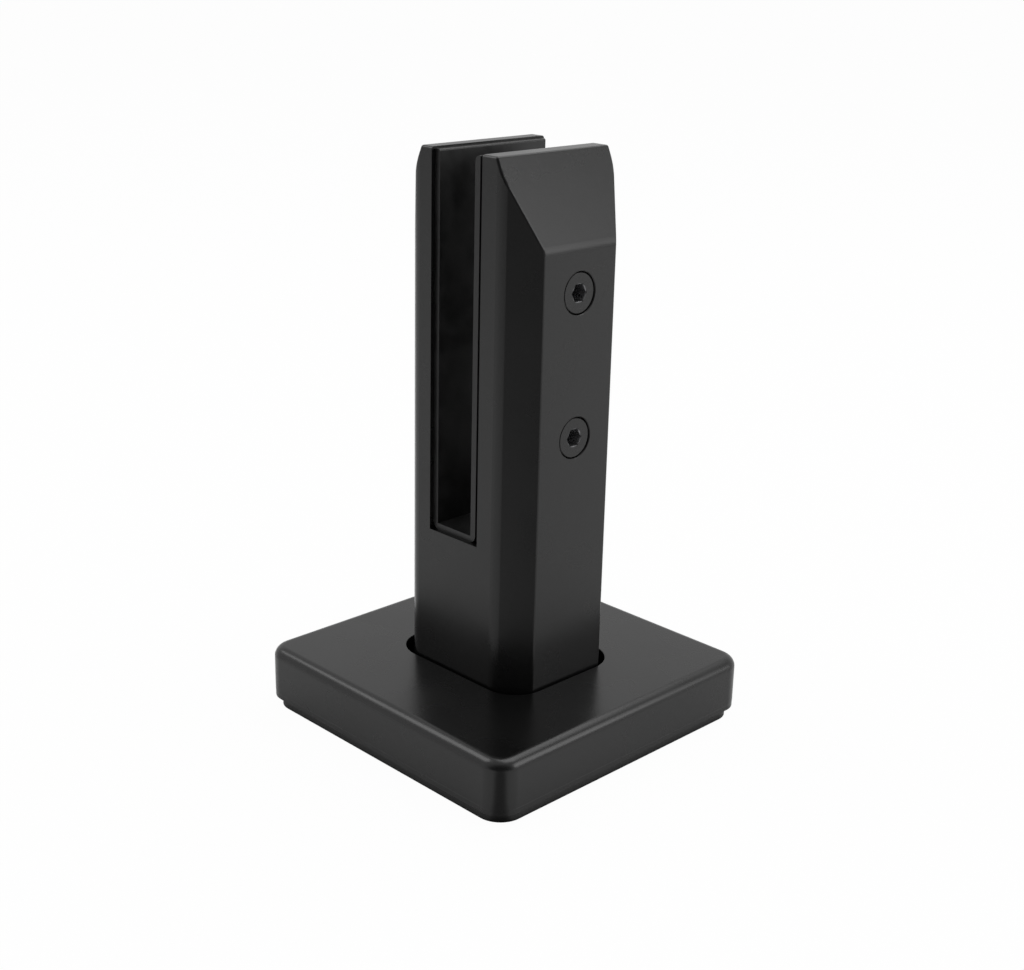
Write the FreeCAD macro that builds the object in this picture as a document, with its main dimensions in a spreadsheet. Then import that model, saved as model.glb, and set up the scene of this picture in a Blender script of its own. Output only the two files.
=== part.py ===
import FreeCAD, Part
import Sketcher
import math
import os

# Glass railing mini post: a clamp post that is bolted to a floor and holds the lower edge of a glass pane.
# Frame: +Z up, origin at the middle of the flange's underside, X along the glass, Y across it.
# The clamp screws are in the front face, which looks towards -Y.

# Driving sizes in millimetres: name, value, what it measures
SIZES = [
    ("post_width", "41.9", "post along the glass"),
    ("post_depth", "50.4", "post across the glass"),
    ("post_height", "166.3", "underside of the flange to the jaw tops"),
    ("corner_cut_width", "7.4", "corner cut along the glass"),
    ("corner_cut_depth", "8.8", "corner cut across the glass"),
    ("end_round", "4.5", "rounding of the upright edges beside the post's end faces"),
    ("edge_round", "0.8", "rounding of the post's other outer edges"),
    ("slot_width", "19.4", "glass slot, jaw to jaw"),
    ("slot_offset", "0.4", "slot's middle behind the post's axis"),
    ("slot_depth", "106.9", "jaw tops down to the slot's floor"),
    ("bevel_height", "23.6", "height of the outer bevel on each jaw"),
    ("bevel_depth", "10.7", "the same bevel across the glass"),
    ("bevel_round", "6", "rounding where a jaw's bevel leaves the upright face"),
    ("flange_height", "8.5", "flange thickness under the cover"),
    ("rim_height", "3", "thickness of the flange's rim, where the cover rests"),
    ("rim_inset", "1.4", "rim's edge inside the cover's edge"),
    ("foot_round", "3", "rounding between post and flange"),
    ("anchor_hole", "11", "anchor bolt hole"),
    ("cover_width", "100.5", "cover across its flat sides"),
    ("cover_height", "15.7", "cover's skirt and roof together"),
    ("cover_wall", "2.5", "cover wall and roof"),
    ("cover_corner", "8.5", "cover's upright corner radius"),
    ("cover_edge", "1.6", "rounding of the cover's top edge"),
    ("cover_gap", "0.5", "room between the skirt and the flange"),
    ("hole_gap", "0.65", "room between the post and the cover's hole"),
    ("hole_corner", "10", "corner radius of the cover's hole"),
    ("liner_thickness", "1.9", "rubber liner's wall"),
    ("liner_drop", "0.6", "liner's top below the jaw tops"),
    ("liner_inset", "1.3", "liner's ends inside the post's end faces"),
    ("liner_round", "2.4", "outer rounding where the liner's legs turn into its base"),
    ("rear_lead", "0.5", "rounding at the rear leg's top"),
    ("front_flat", "0.3", "flat left beside the rounding at the front leg's top"),
    ("front_gap", "2.1", "liner's front leg off the front jaw"),
    ("plate_side", "5", "jaw wall beside the pressure plate's pocket"),
    ("plate_margin", "12", "plate beyond each screw's axis"),
    ("plate_thickness", "3", "pressure plate"),
    ("plate_corner", "3", "pressure plate's corner radius"),
    ("pocket_gap", "0.4", "room around and behind the plate"),
    ("screw_diameter", "11.6", "clamp screw over its thread"),
    ("thread_gap", "0.09", "room between screw and bore"),
    ("screw_drop", "35.9", "upper screw's axis below the jaw tops"),
    ("screw_spacing", "39.9", "upper screw's axis to the lower one's"),
    ("screw_bevel", "0.4", "bevel at a screw's ends"),
    ("bore_bevel", "0.2", "bevel at a screw bore's mouth"),
    ("head_sink", "0.25", "screw's outer end below the front face"),
    ("socket_width", "4.6", "hexagon socket across flats"),
    ("socket_depth", "5", "hexagon socket"),
    ("socket_bevel", "0.2", "bevel at the socket's mouth"),
]

# Places and sizes that follow from the driving ones: name, formula
PLACES = [
    ("half_width", "=sizes.post_width / 2"),
    ("half_depth", "=sizes.post_depth / 2"),
    ("flat_width", "=half_width - sizes.corner_cut_width"),
    ("flat_depth", "=half_depth - sizes.corner_cut_depth"),
    ("slot_rear", "=sizes.slot_width / 2 + sizes.slot_offset"),
    ("slot_front", "=sizes.slot_width / 2 - sizes.slot_offset"),
    ("slot_floor", "=sizes.post_height - sizes.slot_depth"),
    ("ridge", "=half_depth - sizes.bevel_depth"),
    ("bevel_foot", "=sizes.post_height - sizes.bevel_height"),
    ("rim_width", "=sizes.cover_width - 2 * sizes.rim_inset"),
    ("rim_corner", "=sizes.cover_corner - sizes.rim_inset"),
    ("flange_width", "=sizes.cover_width - 2 * sizes.cover_wall - 2 * sizes.cover_gap"),
    ("flange_corner", "=sizes.cover_corner - sizes.cover_wall - sizes.cover_gap"),
    ("anchor_place", "=(half_depth + flange_width / 2) / 2"),
    ("inside_width", "=sizes.cover_width - 2 * sizes.cover_wall"),
    ("inside_corner", "=sizes.cover_corner - sizes.cover_wall"),
    ("inside_height", "=sizes.cover_height - sizes.cover_wall"),
    ("hole_width", "=sizes.post_width + 2 * sizes.hole_gap"),
    ("hole_depth", "=sizes.post_depth + 2 * sizes.hole_gap"),
    ("upper_screw", "=sizes.post_height - sizes.screw_drop"),
    ("lower_screw", "=upper_screw - sizes.screw_spacing"),
    ("bore", "=sizes.screw_diameter + 2 * sizes.thread_gap"),
    ("bore_length", "=half_depth - slot_front"),
    ("plate_middle", "=upper_screw - sizes.screw_spacing / 2"),
    ("plate_height", "=sizes.screw_spacing + 2 * sizes.plate_margin"),
    ("pocket_width", "=sizes.post_width - 2 * sizes.plate_side"),
    ("pocket_height", "=plate_height + 2 * sizes.pocket_gap"),
    ("pocket_corner", "=sizes.plate_corner + sizes.pocket_gap"),
    ("pocket_depth", "=sizes.plate_thickness + sizes.pocket_gap"),
    ("plate_width", "=pocket_width - 2 * sizes.pocket_gap"),
    ("screw_face", "=half_depth - sizes.head_sink"),
    ("screw_length", "=screw_face - slot_front - sizes.plate_thickness"),
    ("socket_corners", "=sizes.socket_width / cos(30 deg)"),
    ("liner_length", "=sizes.post_width - 2 * sizes.liner_inset"),
    ("liner_top", "=sizes.post_height - sizes.liner_drop"),
    ("liner_base", "=slot_floor + sizes.liner_thickness"),
    ("rear_face", "=slot_rear - sizes.liner_thickness"),
    ("front_back", "=slot_front - sizes.front_gap"),
    ("front_face", "=front_back - sizes.liner_thickness"),
    ("front_lead", "=sizes.liner_thickness - sizes.front_flat"),
]

doc = FreeCAD.newDocument("mini_post")
sizes = doc.addObject("Spreadsheet::Sheet", "sizes")
places = doc.addObject("Spreadsheet::Sheet", "places")

for row, (name, number, meaning) in enumerate(SIZES, start=1):
    sizes.set(f"A{row}", meaning)
    sizes.set(f"B{row}", number)
    sizes.setAlias(f"B{row}", name)
for row, (name, formula) in enumerate(PLACES, start=1):
    places.set(f"A{row}", name)
    places.set(f"B{row}", formula)
    places.setAlias(f"B{row}", name)
doc.recompute()

SIZE_NAMES = [name for name, number, meaning in SIZES]
TOUCH = 0.001


def sheet_of(name):
    return sizes if name in SIZE_NAMES else places


def expression(name):
    """The expression that reads a named size; a leading minus sign is kept."""
    plain = name.lstrip("-")
    sign = "-" if name.startswith("-") else ""
    return f"{sign}{sheet_of(plain).Name}.{plain}"


def value(name):
    """The present value of a named size, with the name's sign."""
    plain = name.lstrip("-")
    sign = -1 if name.startswith("-") else 1
    return sign * float(sheet_of(plain).get(plain))


def new_body(label):
    body = doc.addObject("PartDesign::Body", label)
    body.Label = label
    return body


def origin_feature(body, role):
    return [feature for feature in body.Origin.OriginFeatures if feature.Role == role][0]


def new_sketch(body, name, role, lift=None, rise=None):
    """A sketch on an origin plane, moved by named sizes along its normal (lift) and up its own Y (rise)."""
    sketch = body.newObject("Sketcher::SketchObject", name)
    sketch.AttachmentSupport = [(origin_feature(body, role), "")]
    sketch.MapMode = "FlatFace"
    if lift:
        sketch.setExpression("AttachmentOffset.Base.z", expression(lift))
    if rise:
        sketch.setExpression("AttachmentOffset.Base.y", expression(rise))
    return sketch


def bind(sketch, constraint, label, name):
    """Add a dimension to a sketch and tie it to a named size."""
    index = sketch.addConstraint(constraint)
    sketch.renameConstraint(index, label)
    sketch.setExpression(f"Constraints.{label}", expression(name))


def draw_outline(sketch, corners):
    """A closed polygon; each corner is a pair of named sizes from the sketch's origin."""
    points = [FreeCAD.Vector(value(across), value(up), 0) for across, up in corners]
    first = sketch.GeometryCount
    for start, end in zip(points, points[1:] + points[:1]):
        sketch.addGeometry(Part.LineSegment(start, end), False)
    for step, (across, up) in enumerate(corners):
        line = first + step
        before = first + (step - 1) % len(corners)
        sketch.addConstraint(Sketcher.Constraint("Coincident", before, 2, line, 1))
        from_axis = Sketcher.Constraint("DistanceX", -1, 1, line, 1, value(across))
        bind(sketch, from_axis, f"across_{line}", across)
        from_base = Sketcher.Constraint("DistanceY", -1, 1, line, 1, value(up))
        bind(sketch, from_base, f"up_{line}", up)


def draw_rounded_rectangle(sketch, width, height, radius):
    """A rectangle about the sketch's origin with round corners, sized by three names."""
    across = value(width) / 2
    up = value(height) / 2
    turn = value(radius)
    normal = FreeCAD.Vector(0, 0, 1)
    sides = [
        ((-across + turn, -up), (across - turn, -up)),
        ((across, -up + turn), (across, up - turn)),
        ((across - turn, up), (-across + turn, up)),
        ((-across, up - turn), (-across, -up + turn)),
    ]
    centres = [
        (across - turn, -up + turn),
        (across - turn, up - turn),
        (-across + turn, up - turn),
        (-across + turn, -up + turn),
    ]
    for start, end in sides:
        sketch.addGeometry(Part.LineSegment(FreeCAD.Vector(*start, 0), FreeCAD.Vector(*end, 0)), False)
    for quarter, centre in enumerate(centres):
        circle = Part.Circle(FreeCAD.Vector(*centre, 0), normal, turn)
        begin = math.radians(90 * (quarter - 1))
        sketch.addGeometry(Part.ArcOfCircle(circle, begin, begin + math.pi / 2), False)
    for side in range(4):
        arc = side + 4
        sketch.addConstraint(Sketcher.Constraint("Tangent", side, 2, arc, 1))
        sketch.addConstraint(Sketcher.Constraint("Tangent", arc, 2, (side + 1) % 4, 1))
        sketch.addConstraint(Sketcher.Constraint("Vertical" if side % 2 else "Horizontal", side))
    for arc in range(5, 8):
        sketch.addConstraint(Sketcher.Constraint("Equal", 4, arc))
    sketch.addConstraint(Sketcher.Constraint("Symmetric", 0, 1, 2, 1, -1, 1))
    bind(sketch, Sketcher.Constraint("DistanceX", 3, 1, 1, 1, 2 * across), "width", width)
    bind(sketch, Sketcher.Constraint("DistanceY", 0, 1, 2, 1, 2 * up), "height", height)
    bind(sketch, Sketcher.Constraint("Radius", 4, turn), "radius", radius)


def draw_circle(sketch, diameter, up, across=None):
    """A circle sized by a name, placed by names up the sketch and across it, or on its upright axis."""
    middle = value(across) if across else 0
    circle = Part.Circle(FreeCAD.Vector(middle, value(up), 0), FreeCAD.Vector(0, 0, 1), value(diameter) / 2)
    index = sketch.addGeometry(circle, False)
    if across:
        bind(sketch, Sketcher.Constraint("DistanceX", -1, 1, index, 3, middle), f"across_{index}", across)
    else:
        sketch.addConstraint(Sketcher.Constraint("PointOnObject", index, 3, -2))
    bind(sketch, Sketcher.Constraint("DistanceY", -1, 1, index, 3, value(up)), f"up_{index}", up)
    bind(sketch, Sketcher.Constraint("Diameter", index, value(diameter)), f"diameter_{index}", diameter)


def draw_disc(sketch, diameter):
    """A circle about the sketch's origin."""
    circle = Part.Circle(FreeCAD.Vector(0, 0, 0), FreeCAD.Vector(0, 0, 1), value(diameter) / 2)
    index = sketch.addGeometry(circle, False)
    sketch.addConstraint(Sketcher.Constraint("Coincident", index, 3, -1, 1))
    bind(sketch, Sketcher.Constraint("Diameter", index, value(diameter)), "diameter", diameter)


def draw_hexagon(sketch, over_corners):
    """A regular hexagon about the sketch's origin with a flat side on top, sized over its corners."""
    radius = value(over_corners) / 2
    angles = [math.radians(60 * corner) for corner in range(6)]
    points = [FreeCAD.Vector(radius * math.cos(angle), radius * math.sin(angle), 0) for angle in angles]
    for start, end in zip(points, points[1:] + points[:1]):
        sketch.addGeometry(Part.LineSegment(start, end), False)
    guide = sketch.addGeometry(Part.Circle(FreeCAD.Vector(0, 0, 0), FreeCAD.Vector(0, 0, 1), radius), True)
    sketch.addConstraint(Sketcher.Constraint("Coincident", guide, 3, -1, 1))
    for side in range(6):
        sketch.addConstraint(Sketcher.Constraint("Coincident", side, 2, (side + 1) % 6, 1))
        sketch.addConstraint(Sketcher.Constraint("PointOnObject", side, 1, guide))
    for side in range(1, 6):
        sketch.addConstraint(Sketcher.Constraint("Equal", 0, side))
    sketch.addConstraint(Sketcher.Constraint("PointOnObject", 0, 1, -1))
    bind(sketch, Sketcher.Constraint("Diameter", guide, 2 * radius), "over_corners", over_corners)


def pad(body, name, sketch, length, side="One side", backwards=False):
    feature = body.newObject("PartDesign::Pad", name)
    feature.Profile = sketch
    feature.SideType = side
    feature.Reversed = backwards
    feature.setExpression("Length", expression(length))
    doc.recompute()
    return feature


def pocket(body, name, sketch, length=None, side="One side", backwards=False):
    """Cut a sketch to a named depth, or right through; a cut that removes nothing is an error."""
    before = body.Shape.Volume
    feature = body.newObject("PartDesign::Pocket", name)
    feature.Profile = sketch
    feature.SideType = side
    feature.Reversed = backwards
    if length:
        feature.setExpression("Length", expression(length))
    else:
        feature.Type = "ThroughAll"
    doc.recompute()
    if not feature.Shape.Volume < before - TOUCH:
        raise RuntimeError(f"{name} cuts nothing")
    return feature


def edges_where(feature, test):
    return [f"Edge{index}" for index, edge in enumerate(feature.Shape.Edges, start=1) if test(edge)]


def lies_at(edge, axis, place):
    """True where a whole edge lies in the plane at this place along x, y or z."""
    return all(abs(getattr(vertex.Point, axis) - place) < TOUCH for vertex in edge.Vertexes)


def lies_either_side(edge, axis, place):
    return lies_at(edge, axis, place) or lies_at(edge, axis, -place)


def round_edges(body, name, feature, edges, radius):
    fillet = body.newObject("PartDesign::Fillet", name)
    fillet.Base = (feature, edges)
    fillet.setExpression("Radius", expression(radius))
    doc.recompute()
    return fillet


def bevel_edges(body, name, feature, edges, size):
    chamfer = body.newObject("PartDesign::Chamfer", name)
    chamfer.Base = (feature, edges)
    chamfer.setExpression("Size", expression(size))
    doc.recompute()
    return chamfer


def add_post_column(body):
    """The upright: a rectangle with long corner cuts and a bevelled top, all its outer edges rounded."""
    outline = new_sketch(body, "post_section", "XY_Plane")
    draw_outline(outline, [
        ("flat_width", "-half_depth"),
        ("half_width", "-flat_depth"),
        ("half_width", "flat_depth"),
        ("flat_width", "half_depth"),
        ("-flat_width", "half_depth"),
        ("-half_width", "flat_depth"),
        ("-half_width", "-flat_depth"),
        ("-flat_width", "-half_depth"),
    ])
    column = pad(body, "column", outline, "post_height")

    def is_end_corner(edge):
        on_end = lies_either_side(edge, "x", value("half_width"))
        return on_end and lies_either_side(edge, "y", value("flat_depth"))

    column = round_edges(body, "end_corners", column, edges_where(column, is_end_corner), "end_round")
    for side, sign in (("front", "-"), ("rear", "")):
        bevel = new_sketch(body, f"{side}_bevel_section", "YZ_Plane")
        draw_outline(bevel, [
            (f"{sign}half_depth", "bevel_foot"),
            (f"{sign}ridge", "post_height"),
            (f"{sign}half_depth", "post_height"),
        ])
        column = pocket(body, f"{side}_bevel", bevel, side="Symmetric")
    feet = edges_where(column, lambda edge: lies_at(edge, "z", value("bevel_foot")))
    eased = round_edges(body, "bevel_feet", column, feet, "bevel_round")

    def is_crease(edge):
        on_face = lies_either_side(edge, "y", value("half_depth"))
        return on_face and lies_either_side(edge, "x", value("flat_width"))

    def is_outer_edge(edge):
        return lies_at(edge, "z", value("post_height")) or is_crease(edge)

    round_edges(body, "outer_edges", eased, edges_where(eased, is_outer_edge), "edge_round")


def add_flange(body):
    """The bolted foot: a thin rim that carries the cover, a thicker plate, and a rounded junction."""
    rim_outline = new_sketch(body, "rim_outline", "XY_Plane")
    draw_rounded_rectangle(rim_outline, "rim_width", "rim_width", "rim_corner")
    pad(body, "rim", rim_outline, "rim_height")
    plate_outline = new_sketch(body, "flange_outline", "XY_Plane")
    draw_rounded_rectangle(plate_outline, "flange_width", "flange_width", "flange_corner")
    flange = pad(body, "flange", plate_outline, "flange_height")

    def meets_the_post(edge):
        middle = edge.BoundBox.Center
        inside = abs(middle.x) < value("half_width") + TOUCH and abs(middle.y) < value("half_depth") + TOUCH
        return inside and lies_at(edge, "z", value("flange_height"))

    round_edges(body, "post_foot", flange, edges_where(flange, meets_the_post), "foot_round")


def cut_anchor_holes(body):
    """Four bolt holes, midway between the post's front and the flange's edge."""
    circle = new_sketch(body, "anchor_circle", "XY_Plane")
    draw_circle(circle, "anchor_hole", "anchor_place", "anchor_place")
    hole = pocket(body, "anchor_bore", circle, backwards=True)
    pattern = body.newObject("PartDesign::PolarPattern", "anchor_bores")
    pattern.Originals = [hole]
    pattern.Axis = (origin_feature(body, "Z_Axis"), [""])
    pattern.Angle = 360
    pattern.Occurrences = 4
    body.Tip = pattern
    doc.recompute()


def cut_slot(body):
    """The glass slot, open at both ends and at the top; what is left beside it are the two jaws."""
    slot = new_sketch(body, "slot_section", "YZ_Plane")
    draw_outline(slot, [
        ("-slot_front", "slot_floor"),
        ("slot_rear", "slot_floor"),
        ("slot_rear", "post_height"),
        ("-slot_front", "post_height"),
    ])
    pocket(body, "slot", slot, side="Symmetric")


def cut_clamp_seat(body):
    """The pressure plate's pocket in the front jaw's inner face, and the two screw bores into it."""
    seat = new_sketch(body, "plate_seat", "XZ_Plane", lift="slot_front", rise="plate_middle")
    draw_rounded_rectangle(seat, "pocket_width", "pocket_height", "pocket_corner")
    pocket(body, "plate_pocket", seat, "pocket_depth", backwards=True)
    bores = new_sketch(body, "screw_circles", "XZ_Plane", lift="half_depth")
    draw_circle(bores, "bore", "upper_screw")
    draw_circle(bores, "bore", "lower_screw")
    bored = pocket(body, "screw_bores", bores, "bore_length")

    def is_bore_mouth(edge):
        return edge.isClosed() and lies_at(edge, "y", -value("half_depth"))

    bevel_edges(body, "bore_mouths", bored, edges_where(bored, is_bore_mouth), "bore_bevel")


def make_post_body():
    body = new_body("post_body")
    add_post_column(body)
    add_flange(body)
    cut_anchor_holes(body)
    cut_slot(body)
    cut_clamp_seat(body)
    return body


def make_base_cover():
    """A hollow square cap with a hole for the post; its skirt stands on the flange's rim."""
    body = new_body("base_cover")
    outline = new_sketch(body, "cover_outline", "XY_Plane")
    draw_rounded_rectangle(outline, "cover_width", "cover_width", "cover_corner")
    block = pad(body, "cover_block", outline, "cover_height")
    top = edges_where(block, lambda edge: lies_at(edge, "z", value("cover_height")))
    round_edges(body, "cover_top_edge", block, top, "cover_edge")
    inside = new_sketch(body, "cover_inside", "XY_Plane")
    draw_rounded_rectangle(inside, "inside_width", "inside_width", "inside_corner")
    pocket(body, "cover_hollow", inside, "inside_height", backwards=True)
    hole = new_sketch(body, "cover_hole_outline", "XY_Plane")
    draw_rounded_rectangle(hole, "hole_width", "hole_depth", "hole_corner")
    pocket(body, "cover_hole", hole, backwards=True)
    body.setExpression("Placement.Base.z", expression("rim_height"))
    return body


def make_slot_liner():
    """A U-shaped rubber liner: a leg against the rear jaw, a base on the slot's floor, a free front leg."""
    body = new_body("slot_liner")
    section = new_sketch(body, "liner_section", "YZ_Plane")
    draw_outline(section, [
        ("slot_rear", "slot_floor"),
        ("slot_rear", "liner_top"),
        ("rear_face", "liner_top"),
        ("rear_face", "liner_base"),
        ("-front_face", "liner_base"),
        ("-front_face", "liner_top"),
        ("-front_back", "liner_top"),
        ("-front_back", "slot_floor"),
    ])
    strip = pad(body, "liner_strip", section, "liner_length", side="Symmetric")

    def is_heel(edge):
        outer = lies_at(edge, "y", value("slot_rear")) or lies_at(edge, "y", -value("front_back"))
        return outer and lies_at(edge, "z", value("slot_floor"))

    def tops_face(edge, face):
        return lies_at(edge, "y", value(face)) and lies_at(edge, "z", value("liner_top"))

    turned = round_edges(body, "liner_heels", strip, edges_where(strip, is_heel), "liner_round")
    rear_tops = edges_where(turned, lambda edge: tops_face(edge, "rear_face"))
    rear = round_edges(body, "liner_rear_lead", turned, rear_tops, "rear_lead")
    front_tops = edges_where(rear, lambda edge: tops_face(edge, "-front_face"))
    round_edges(body, "liner_front_lead", rear, front_tops, "front_lead")
    return body


def make_pressure_plate():
    """A flat plate, flush with the front jaw's inner face until the screws push it out."""
    body = new_body("pressure_plate")
    outline = new_sketch(body, "plate_outline", "XZ_Plane")
    draw_rounded_rectangle(outline, "plate_width", "plate_height", "plate_corner")
    pad(body, "plate", outline, "plate_thickness")
    body.setExpression("Placement.Base.y", expression("-slot_front"))
    body.setExpression("Placement.Base.z", expression("plate_middle"))
    return body


def make_clamp_screw(label, axis_height):
    """A headless screw with a hexagon socket; its inner end bears on the pressure plate."""
    body = new_body(label)
    disc = new_sketch(body, f"{label}_circle", "XZ_Plane")
    draw_disc(disc, "screw_diameter")
    shank = pad(body, f"{label}_shank", disc, "screw_length", backwards=True)
    rims = edges_where(shank, lambda edge: not edge.Curve.TypeId.endswith("GeomLine"))
    bevel_edges(body, f"{label}_ends", shank, rims, "screw_bevel")
    hexagon = new_sketch(body, f"{label}_hexagon", "XZ_Plane")
    draw_hexagon(hexagon, "socket_corners")
    socket = pocket(body, f"{label}_socket", hexagon, "socket_depth")

    def is_mouth(edge):
        return edge.Curve.TypeId.endswith("GeomLine") and lies_at(edge, "y", 0)

    bevel_edges(body, f"{label}_mouth", socket, edges_where(socket, is_mouth), "socket_bevel")
    body.setExpression("Placement.Base.y", expression("-screw_face"))
    body.setExpression("Placement.Base.z", expression(axis_height))
    return body


subparts = [
    make_post_body(),
    make_base_cover(),
    make_slot_liner(),
    make_pressure_plate(),
    make_clamp_screw("upper_clamp_screw", "upper_screw"),
    make_clamp_screw("lower_clamp_screw", "lower_screw"),
]
doc.recompute()

for item in doc.Objects:
    if "Invalid" in item.State or "Error" in item.State:
        raise RuntimeError(f"{item.Label} failed: {item.State}")
for subpart in subparts:
    if subpart.Shape.isNull() or not subpart.Shape.isValid():
        raise RuntimeError(f"{subpart.Label} has no valid shape")

os.makedirs("parts", exist_ok=True)
for subpart in subparts:
    subpart.Shape.exportStep(f"parts/{subpart.Label}.step")
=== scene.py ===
import math

import bpy
from mathutils import Matrix, Vector


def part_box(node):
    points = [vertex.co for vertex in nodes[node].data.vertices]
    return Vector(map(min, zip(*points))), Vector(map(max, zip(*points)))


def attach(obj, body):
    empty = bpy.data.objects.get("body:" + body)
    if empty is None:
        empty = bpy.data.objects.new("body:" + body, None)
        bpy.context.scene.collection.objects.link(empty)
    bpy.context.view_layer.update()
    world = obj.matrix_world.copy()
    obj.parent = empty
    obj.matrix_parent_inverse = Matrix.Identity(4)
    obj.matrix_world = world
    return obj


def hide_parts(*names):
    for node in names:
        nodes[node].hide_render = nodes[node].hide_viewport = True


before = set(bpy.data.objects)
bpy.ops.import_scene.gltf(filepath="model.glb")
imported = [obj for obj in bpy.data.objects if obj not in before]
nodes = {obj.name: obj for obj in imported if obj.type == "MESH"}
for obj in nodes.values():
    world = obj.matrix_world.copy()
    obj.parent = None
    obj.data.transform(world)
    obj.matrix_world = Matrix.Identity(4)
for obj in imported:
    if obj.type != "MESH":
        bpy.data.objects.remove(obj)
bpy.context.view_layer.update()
MM = 0.001

# Camera: the point it looks at, its directions and distance, and its lens and sensor in millimetres
AIM = Vector((-2.46, -3.94, 71.98)) * MM
HEADING = math.radians(44.76)
ELEVATION = math.radians(19.18)
ROLL = math.radians(1.3)
DISTANCE = 450.7 * MM
CLIP_START = 10 * MM
LENS = 56.02
SENSOR = 36.0
TOWARDS_CAMERA = Vector((-math.sin(HEADING), -math.cos(HEADING), 0))

# Signs of a square's corners, anticlockwise from above
CORNER_SIGNS = [(1, 1), (-1, 1), (-1, -1), (1, -1)]


def new_object(name, data):
    thing = bpy.data.objects.new(name, data)
    bpy.context.scene.collection.objects.link(thing)
    return thing


# Node helpers

# Most of a noise lies between these values
NOISE_MIDDLE = (0.3, 0.7)


def empty_tree(owner):
    """The node tree of a material or a world, with nothing in it."""
    owner.use_nodes = True
    owner.node_tree.nodes.clear()
    return owner.node_tree


def new_material(name):
    material = bpy.data.materials.new(name)
    return material, empty_tree(material)


def add(tree, kind, **settings):
    node = tree.nodes.new(kind)
    for name, setting in settings.items():
        setattr(node, name, setting)
    return node


def feed(tree, source, target):
    """Link an output to an input, or set the input where the source is a plain value."""
    if isinstance(source, bpy.types.NodeSocket):
        tree.links.new(source, target)
    else:
        target.default_value = source


def add_shader(tree, inputs):
    """A principled shader with these inputs, linked to the material's output."""
    shader = add(tree, "ShaderNodeBsdfPrincipled")
    output = add(tree, "ShaderNodeOutputMaterial")
    for name, source in inputs.items():
        feed(tree, source, shader.inputs[name])
    feed(tree, shader.outputs["BSDF"], output.inputs["Surface"])


def noise(tree, size, detail, stretch=(1, 1, 1)):
    """Noise whose features are about size metres wide, or longer along an axis with a small stretch."""
    place = add(tree, "ShaderNodeTexCoord")
    mapping = add(tree, "ShaderNodeMapping")
    texture = add(tree, "ShaderNodeTexNoise")
    feed(tree, stretch, mapping.inputs["Scale"])
    feed(tree, 1 / size, texture.inputs["Scale"])
    feed(tree, detail, texture.inputs["Detail"])
    feed(tree, place.outputs["Object"], mapping.inputs["Vector"])
    feed(tree, mapping.outputs["Vector"], texture.inputs["Vector"])
    return texture.outputs["Fac"]


def remap(tree, source, source_range, target_range):
    """Carry a value smoothly from one range to another, and hold it beyond the ends."""
    node = add(tree, "ShaderNodeMapRange", interpolation_type="SMOOTHSTEP")
    feed(tree, source, node.inputs["Value"])
    feed(tree, source_range[0], node.inputs["From Min"])
    feed(tree, source_range[1], node.inputs["From Max"])
    feed(tree, target_range[0], node.inputs["To Min"])
    feed(tree, target_range[1], node.inputs["To Max"])
    return node.outputs["Result"]


def spread(tree, texture, target_range):
    """Stretch the middle of a noise over a range."""
    return remap(tree, texture, NOISE_MIDDLE, target_range)


def blend(tree, share, first, second, **settings):
    """A value or colour between two, by a share from 0 to 1."""
    node = add(tree, "ShaderNodeMix", **settings)
    feed(tree, share, node.inputs["Factor"])
    feed(tree, first, node.inputs["A"])
    feed(tree, second, node.inputs["B"])
    return node.outputs["Result"]


def grey_between(tree, share, greys):
    dark, light = [(grey, grey, grey, 1) for grey in greys]
    return blend(tree, share, dark, light, data_type="RGBA")


def mottled(tree, texture, greys):
    """Greys that follow a noise from dark to light."""
    return grey_between(tree, spread(tree, texture, (0, 1)), greys)


def combine(tree, operation, first, second):
    node = add(tree, "ShaderNodeMath", operation=operation)
    feed(tree, first, node.inputs[0])
    feed(tree, second, node.inputs[1])
    return node.outputs["Value"]


def vector_math(tree, operation, vector, other=None):
    """A vector operation; other is the second vector where there is one."""
    node = add(tree, "ShaderNodeVectorMath", operation=operation)
    feed(tree, vector, node.inputs[0])
    if other is not None:
        feed(tree, other, node.inputs[1])
    return node.outputs["Value" if operation in ("DOT_PRODUCT", "LENGTH") else "Vector"]


def distance_from_axis(tree, height):
    """How far a point is from a level line across the glass at this height."""
    place = add(tree, "ShaderNodeTexCoord").outputs["Object"]
    from_axis = vector_math(tree, "SUBTRACT", place, (0, 0, height))
    return vector_math(tree, "LENGTH", vector_math(tree, "MULTIPLY", from_axis, (1, 0, 1)))


def bump(tree, texture, height, below=None):
    """A normal that follows a noise, on top of another bump where one is given."""
    node = add(tree, "ShaderNodeBump")
    feed(tree, height, node.inputs["Distance"])
    feed(tree, texture, node.inputs["Height"])
    if below:
        feed(tree, below, node.inputs["Normal"])
    return node.outputs["Normal"]


# Materials

BLACK_GREYS = (0.002, 0.005)
BARE_STEEL = (0.24, 0.24, 0.25, 1)
COATING_IOR = 1.5
GRAIN_SIZE = 0.22 * MM
GRAIN_HEIGHT = 0.006 * MM

# Shares of a screw's radius between which its socket's walls end
SOCKET_EDGE = (0.43, 0.47)


def satin_coating(name, roughness):
    """Black powder coat: a slight orange peel with a fine grain, and gloss that drifts a little."""
    material, tree = new_material(name)
    drift = noise(tree, size=22 * MM, detail=3)
    peel = noise(tree, size=0.9 * MM, detail=2)
    grain = noise(tree, size=GRAIN_SIZE, detail=2)
    relief = bump(tree, peel, height=0.012 * MM)
    add_shader(tree, {
        "Base Color": mottled(tree, grain, BLACK_GREYS),
        "Roughness": spread(tree, drift, roughness),
        "Normal": bump(tree, grain, height=GRAIN_HEIGHT, below=relief),
        "IOR": COATING_IOR,
    })
    return material


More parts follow.
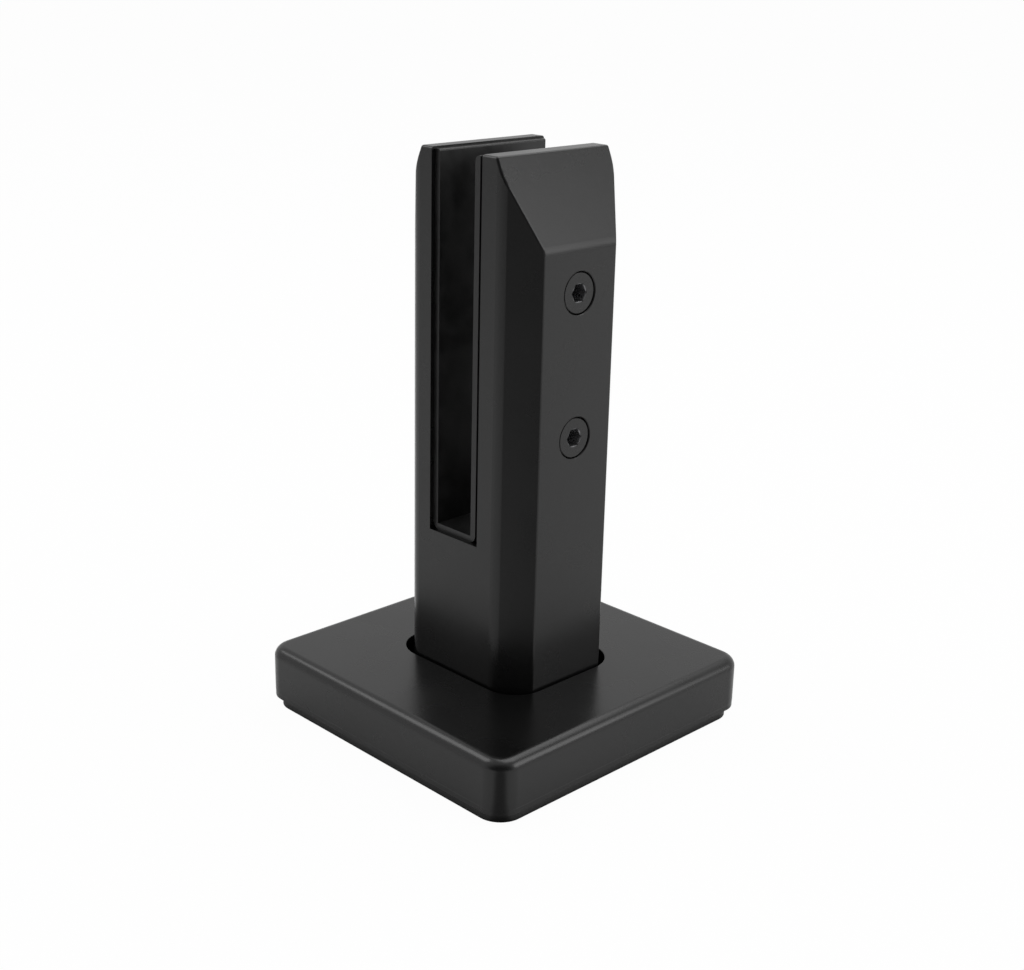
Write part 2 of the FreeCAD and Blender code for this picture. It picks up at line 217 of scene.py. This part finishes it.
def blackened_screw(node):
    """Blackened steel, rubbed bare by the key on the socket's walls."""
    low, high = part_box(node)
    radius = (high[0] - low[0]) / 2
    material, tree = new_material(node)
    grain = noise(tree, size=GRAIN_SIZE, detail=2)
    rubs = spread(tree, noise(tree, size=0.8 * MM, detail=4), (0.3, 1))
    off_axis = distance_from_axis(tree, (low[2] + high[2]) / 2)
    past_socket = remap(tree, off_axis, [share * radius for share in SOCKET_EDGE], (0, 1))
    worn = blend(tree, past_socket, rubs, 0)
    black = mottled(tree, grain, BLACK_GREYS)
    add_shader(tree, {
        "Base Color": blend(tree, worn, black, BARE_STEEL, data_type="RGBA"),
        "Metallic": worn,
        "Roughness": spread(tree, grain, (0.2, 0.28)),
        "Normal": bump(tree, grain, height=GRAIN_HEIGHT),
        "IOR": COATING_IOR,
    })
    return material


def liner_rubber():
    """Matte black rubber with a moulded skin and traces of pale dust."""
    material, tree = new_material("liner_rubber")
    dust = noise(tree, size=6 * MM, detail=5)
    skin = noise(tree, size=0.35 * MM, detail=3)
    add_shader(tree, {
        "Base Color": mottled(tree, dust, (0.004, 0.009)),
        "Roughness": spread(tree, dust, (0.34, 0.46)),
        "Normal": bump(tree, skin, height=0.015 * MM),
    })
    return material


def plate_steel():
    """Stainless sheet with brush lines along the plate."""
    material, tree = new_material("plate_steel")
    lines = noise(tree, size=0.4 * MM, detail=4, stretch=(1, 1, 0.02))
    add_shader(tree, {
        "Base Color": mottled(tree, lines, (0.38, 0.55)),
        "Roughness": spread(tree, lines, (0.25, 0.42)),
        "Normal": bump(tree, lines, height=0.004 * MM),
        "Metallic": 1,
    })
    return material


def dress(node, material):
    mesh = nodes[node].data
    mesh.materials.clear()
    mesh.materials.append(material)


coated_cover = satin_coating("coated_cover", roughness=(0.24, 0.3))
dress("post_body", satin_coating("coated_post", roughness=(0.26, 0.32)))
dress("base_cover", coated_cover)
for screw in ("upper_clamp_screw", "lower_clamp_screw"):
    dress(screw, blackened_screw(screw))
dress("slot_liner", liner_rubber())
dress("pressure_plate", plate_steel())


# Base cover: the solid's box, wall and hole, with pressed edges that are rounded more softly

COVER_CORNER = 6.8 * MM
COVER_TOP_ROUND = 3.2 * MM
COVER_FOOT_ROUND = 1.8 * MM
HOLE_ROUND = 0.3 * MM
ROUND_STEPS = 10
SHARP_ANGLE = math.radians(40)
CLOSE = 0.01 * MM

# Share of the cover's half side within which its hole lies
HOLE_ZONE = 0.7


def rounded_ring(half, corner, height):
    """Points round a rectangle with rounded corners, the same number for every ring."""
    points = []
    for quarter, (side_x, side_y) in enumerate(CORNER_SIGNS):
        for step in range(ROUND_STEPS + 1):
            turn = math.radians(90) * (quarter + step / ROUND_STEPS)
            across = side_x * (half[0] - corner) + corner * math.cos(turn)
            along = side_y * (half[1] - corner) + corner * math.sin(turn)
            points.append((across, along, height))
    return points


def quarter_round(radius, start):
    """Steps along a quarter circle, as the way in from its outer side and the way up from its middle."""
    for step in range(ROUND_STEPS + 1):
        turn = math.radians(start + 90 * step / ROUND_STEPS)
        yield radius * (1 - math.cos(turn)), radius * math.sin(turn)


def hole_of(points):
    """Half sides and corner radius of the hole, from the points on its upper edge."""
    half_x = max(abs(point.x) for point in points)
    half_y = max(abs(point.y) for point in points)
    beside = [abs(point.y) for point in points if abs(point.x) > half_x - CLOSE]
    return (half_x, half_y), half_y - max(beside)


def cover_rings():
    """Rings round the cover's wall: up the outside, over the top, down the hole and back inside."""
    low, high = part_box("base_cover")
    points = [vertex.co for vertex in nodes["base_cover"].data.vertices]
    side = high[0]
    near_hole = [point for point in points if max(abs(point.x), abs(point.y)) < HOLE_ZONE * side]
    hole, hole_corner = hole_of([point for point in near_hole if point.z > high[2] - CLOSE])
    ceiling = min(point.z for point in near_hole)
    foot = [abs(point.x) for point in points if point.z < low[2] + CLOSE]
    inside = max(across for across in foot if across < side - CLOSE)
    inner_corner = COVER_CORNER - (side - inside)

    def outer(inset, height):
        return rounded_ring((side - inset, side - inset), COVER_CORNER - inset, height)

    def round_hole(inset, height):
        return rounded_ring((hole[0] + inset, hole[1] + inset), hole_corner + inset, height)

    rings = []
    for inset, up in quarter_round(COVER_FOOT_ROUND, -90):
        rings.append(outer(inset, low[2] + COVER_FOOT_ROUND + up))
    for inset, up in quarter_round(COVER_TOP_ROUND, 0):
        rings.append(outer(inset, high[2] - COVER_TOP_ROUND + up))
    for inset, up in reversed(list(quarter_round(HOLE_ROUND, 0))):
        rings.append(round_hole(inset, high[2] - HOLE_ROUND + up))
    rings.append(round_hole(0, ceiling))
    rings.append(rounded_ring((inside, inside), inner_corner, ceiling))
    rings.append(rounded_ring((inside, inside), inner_corner, low[2]))
    return rings


def add_cover(material):
    """Join each ring to the next and the last to the first, so that the shell is closed."""
    rings = cover_rings()
    count = len(rings[0])
    faces = []
    for ring in range(len(rings)):
        after = (ring + 1) % len(rings)
        for point in range(count):
            beyond = (point + 1) % count
            faces.append((ring * count + point, ring * count + beyond,
                          after * count + beyond, after * count + point))
    mesh = bpy.data.meshes.new("cover_shell")
    mesh.from_pydata([point for ring in rings for point in ring], [], faces)
    mesh.polygons.foreach_set("use_smooth", [True] * len(faces))
    mesh.set_sharp_from_angle(angle=SHARP_ANGLE)
    mesh.materials.append(material)
    shell = new_object("cover_shell", mesh)
    shell.modifiers.new("even_normals", "WEIGHTED_NORMAL").keep_sharp = True
    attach(shell, "cover")
    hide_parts("base_cover")


add_cover(coated_cover)


# Stage: a white floor whose colour carries painted shade in gloss on the camera's side, and a white room
# that gloss shows darker on the camera's side, with sizes in metres

WHITE = (1, 1, 1, 1)
PAPER_GREYS = (0.84, 0.88)
# How much of the floor the camera sees as plain white, the rest being paper with its shadow
WHITE_SHARE = 0.97
# From here towards the camera, the floor's colour carries painted shade, seen only in gloss
PAINTED_SHADE_START = 57 * MM * TOWARDS_CAMERA
FLOOR_HALF = 6.0
LAMPS_AIM = Vector((0, 0, 0.08))


def falling_off(tree, vector, start, end, least):
    """1 at the sides and behind, falling to the least as the vector turns towards the camera's side."""
    direction = vector_math(tree, "NORMALIZE", vector)
    ahead = vector_math(tree, "DOT_PRODUCT", direction, TOWARDS_CAMERA)
    return remap(tree, ahead, (start, end), (1, least))


def ray_kinds(tree):
    """Switches for what the camera sees, and for what gloss and glass show."""
    path = add(tree, "ShaderNodeLightPath")
    mirrored = combine(tree, "MAXIMUM", path.outputs["Is Glossy Ray"], path.outputs["Is Transmission Ray"])
    return path.outputs["Is Camera Ray"], mirrored


def white_floor():
    """Pale paper that the camera sees as white with a trace of shadow; in gloss its colour carries painted
    shade towards the camera's side.
    """
    material, tree = new_material("white_floor")
    seen, mirrored = ray_kinds(tree)
    place = add(tree, "ShaderNodeNewGeometry").outputs["Position"]
    from_start = vector_math(tree, "SUBTRACT", place, PAINTED_SHADE_START)
    # Painted shade: for glossy rays the paper's colour is darkened towards the camera's side, standing in
    # for shade in front of the object
    in_gloss = falling_off(tree, from_start, start=0.89, end=0.992, least=0.31)
    greys = grey_between(tree, noise(tree, size=3 * MM, detail=2), PAPER_GREYS)
    painted_shade_paper_colour = blend(tree, 1, greys, blend(tree, mirrored, 1, in_gloss), data_type="RGBA", blend_type="MULTIPLY")
    paper = add(tree, "ShaderNodeBsdfDiffuse")
    glow = add(tree, "ShaderNodeEmission")
    mix = add(tree, "ShaderNodeMixShader")
    output = add(tree, "ShaderNodeOutputMaterial")
    feed(tree, painted_shade_paper_colour, paper.inputs["Color"])
    feed(tree, WHITE, glow.inputs["Color"])
    feed(tree, blend(tree, seen, 0, WHITE_SHARE), mix.inputs[0])
    feed(tree, paper.outputs["BSDF"], mix.inputs[1])
    feed(tree, glow.outputs["Emission"], mix.inputs[2])
    feed(tree, mix.outputs["Shader"], output.inputs["Surface"])
    return material


def add_floor():
    mesh = bpy.data.meshes.new("floor")
    corners = [(FLOOR_HALF * across, FLOOR_HALF * along, 0) for across, along in CORNER_SIGNS]
    mesh.from_pydata(corners, [], [(0, 1, 2, 3)])
    mesh.materials.append(white_floor())
    new_object("floor", mesh)


def light_room(fill, backdrop):
    """Even fill light, a white background, and a backdrop of this brightness in gloss."""
    world = bpy.data.worlds.new("white_room")
    tree = empty_tree(world)
    seen, mirrored = ray_kinds(tree)
    direction = add(tree, "ShaderNodeTexCoord").outputs["Generated"]
    fall = falling_off(tree, direction, start=0.3, end=0.85, least=0.12)
    in_gloss = combine(tree, "MULTIPLY", fall, backdrop)
    background = add(tree, "ShaderNodeBackground")
    output = add(tree, "ShaderNodeOutputWorld")
    feed(tree, WHITE, background.inputs["Color"])
    feed(tree, blend(tree, seen, blend(tree, mirrored, fill, in_gloss), 1), background.inputs["Strength"])
    feed(tree, background.outputs["Background"], output.inputs["Surface"])
    bpy.context.scene.world = world


def add_softbox(name, place, side, brightness):
    """A square area lamp that faces the object; with brightness 1, it would look plain white."""
    lamp = bpy.data.lights.new(name, "AREA")
    lamp.size = side
    lamp.energy = brightness * math.pi * side ** 2
    box = new_object(name, lamp)
    box.location = place
    box.rotation_euler = (LAMPS_AIM - Vector(place)).to_track_quat("-Z", "Y").to_euler()


def add_camera():
    level = Vector((math.cos(HEADING), -math.sin(HEADING), 0))
    back = math.cos(ELEVATION) * TOWARDS_CAMERA + math.sin(ELEVATION) * Vector((0, 0, 1))
    right = math.cos(ROLL) * level + math.sin(ROLL) * back.cross(level)
    turn = Matrix((right, back.cross(right), back)).transposed()
    camera = new_object("camera", bpy.data.cameras.new("camera"))
    camera.matrix_world = Matrix.Translation(AIM + DISTANCE * back) @ turn.to_4x4()
    camera.data.sensor_width = SENSOR
    camera.data.lens = LENS
    camera.data.clip_start = CLIP_START
    bpy.context.scene.camera = camera


add_floor()
light_room(fill=0.48, backdrop=0.72)
add_softbox("top_softbox", place=(0.45, -0.05, 1.25), side=1.0, brightness=1.95)
add_softbox("right_softbox", place=(0.6, -0.97, 0.45), side=0.6, brightness=2.5)
add_softbox("left_softbox", place=(-0.45, 0.75, 1.0), side=0.6, brightness=2.4)
add_camera()
bpy.context.scene.view_settings.view_transform = "Standard"
